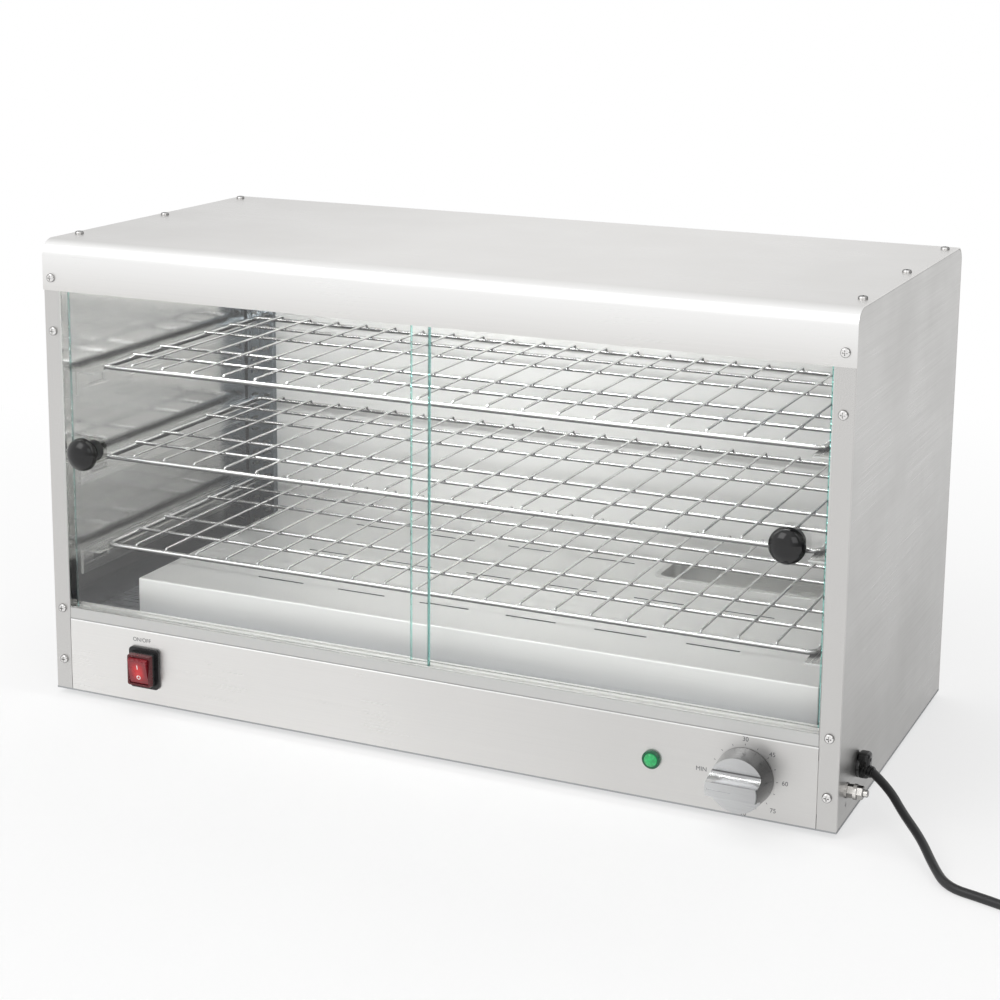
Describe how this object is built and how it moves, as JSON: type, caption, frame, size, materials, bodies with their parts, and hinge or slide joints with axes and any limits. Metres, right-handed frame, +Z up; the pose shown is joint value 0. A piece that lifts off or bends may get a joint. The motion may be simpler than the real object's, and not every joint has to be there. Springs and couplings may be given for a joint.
{
  "type": "pie warmer",
  "caption": "Bench-top pie warmer: stainless cabinet with two sliding glass doors, wire racks, slotted heater cover with a water tray, and a front control panel.",
  "frame": {"origin": "middle of the bounding box without the mains cord, at the underside of the feet", "axes": "+Z up, -Y out of the front with the doors, +X to the right as seen from the front"},
  "size_m": [1.057, 0.4384, 0.4374],
  "materials": {
    "stainless": "brushed",
    "lining": "bright rolled",
    "sheet_base": "galvanised",
    "cover_plate": "brushed",
    "tray_steel": "satin",
    "track": "satin",
    "rails": "satin",
    "rack_wire": "bright",
    "glass": "clear",
    "black_plastic": "fine grain",
    "switch_black": "semi gloss",
    "knob_metal": "satin turned",
    "rocker_red": "translucent",
    "lamp_dark": "semi gloss",
    "lamp_green": "translucent",
    "feet_rubber": "matt",
    "screws": "bright",
    "heater": "heat stained",
    "bracket": "satin",
    "thermostat": "matt",
    "stem": "satin",
    "bulb": "satin",
    "terminal": "matt",
    "brass": "satin",
    "bond": "zinc plated",
    "wire": "smooth",
    "cord": "smooth",
    "moulding": "smooth"
  },
  "bodies": {
    "cabinet": {"back_lining": "lining", "back_panel": "stainless", "base_plate": "sheet_base", "base_screws": "screws", "block_screws": "brass", "bonding_nuts": "bond", "bonding_stud": "bond", "bonding_washers": "bond", "ceiling_lining": "lining", "chamber_floor": "lining", "control_panel": "stainless", "cord_coil": "cord", "cord_inner_end": "cord", "door_track_bottom": "track", "door_track_top": "track", "element_brackets": "bracket", "fascia_screws": "screws", "feet": "feet_rubber", "foot_screws": "screws", "front_screws": "screws", "heater_cover": "cover_plate", "heating_elements": "heater", "lamp_bezel": "lamp_dark", "lamp_lens": "lamp_green", "left_ledges": "rails", "left_lining": "lining", "left_side": "stainless", "left_upright": "rails", "mains_cord": "cord", "plug": "moulding", "plug_pins": "brass", "rear_screws": "screws", "right_ledges": "rails", "right_lining": "lining", "right_side": "stainless", "right_upright": "rails", "strain_relief": "moulding", "switch_housing": "switch_black", "terminal_block": "terminal", "thermostat_body": "thermostat", "thermostat_bulb": "bulb", "thermostat_screws": "screws", "top_cover": "stainless", "top_screws": "screws", "wiring": "wire"},
    "left_door": {"left_glass": "glass", "left_door_knob": "black_plastic", "left_door_nut": "black_plastic"},
    "right_door": {"right_glass": "glass", "right_door_knob": "black_plastic", "right_door_nut": "black_plastic"},
    "thermostat_dial": {"thermostat_knob": "knob_metal", "thermostat_stem": "stem"},
    "rocker": {"switch_rocker": "rocker_red"},
    "top_rack": {"rack_top": "rack_wire"},
    "middle_rack": {"rack_middle": "rack_wire"},
    "bottom_rack": {"rack_bottom": "rack_wire"},
    "tray": {"water_tray": "tray_steel"}
  },
  "joints": [
    {"name": "left_door_slide", "type": "slide", "parent": "cabinet", "child": "left_door", "axis": [1, 0, 0], "range_m": [0, 0.299]},
    {"name": "right_door_slide", "type": "slide", "parent": "cabinet", "child": "right_door", "axis": [1, 0, 0], "range_m": [-0.299, 0]},
    {"name": "thermostat_turn", "type": "hinge", "parent": "cabinet", "child": "thermostat_dial", "pos_m": [0.2923, -0.1823, 0.04], "axis": [0, 1, 0], "range_deg": [0, 270]},
    {"name": "rocker_tilt", "type": "hinge", "parent": "cabinet", "child": "rocker", "pos_m": [-0.289, -0.1708, 0.0405], "axis": [-1, 0, 0], "range_deg": [0, 24]},
    {"name": "top_rack_lift", "type": "slide", "parent": "cabinet", "child": "top_rack", "axis": [0, 0, 1], "range_m": [0, 0.07]},
    {"name": "middle_rack_lift", "type": "slide", "parent": "cabinet", "child": "middle_rack", "axis": [0, 0, 1], "range_m": [0, 0.07]},
    {"name": "bottom_rack_lift", "type": "slide", "parent": "cabinet", "child": "bottom_rack", "axis": [0, 0, 1], "range_m": [0, 0.07]},
    {"name": "water_tray_lift", "type": "slide", "parent": "cabinet", "child": "tray", "axis": [0, 0, 1], "range_m": [0, 0.024]}
  ]
}
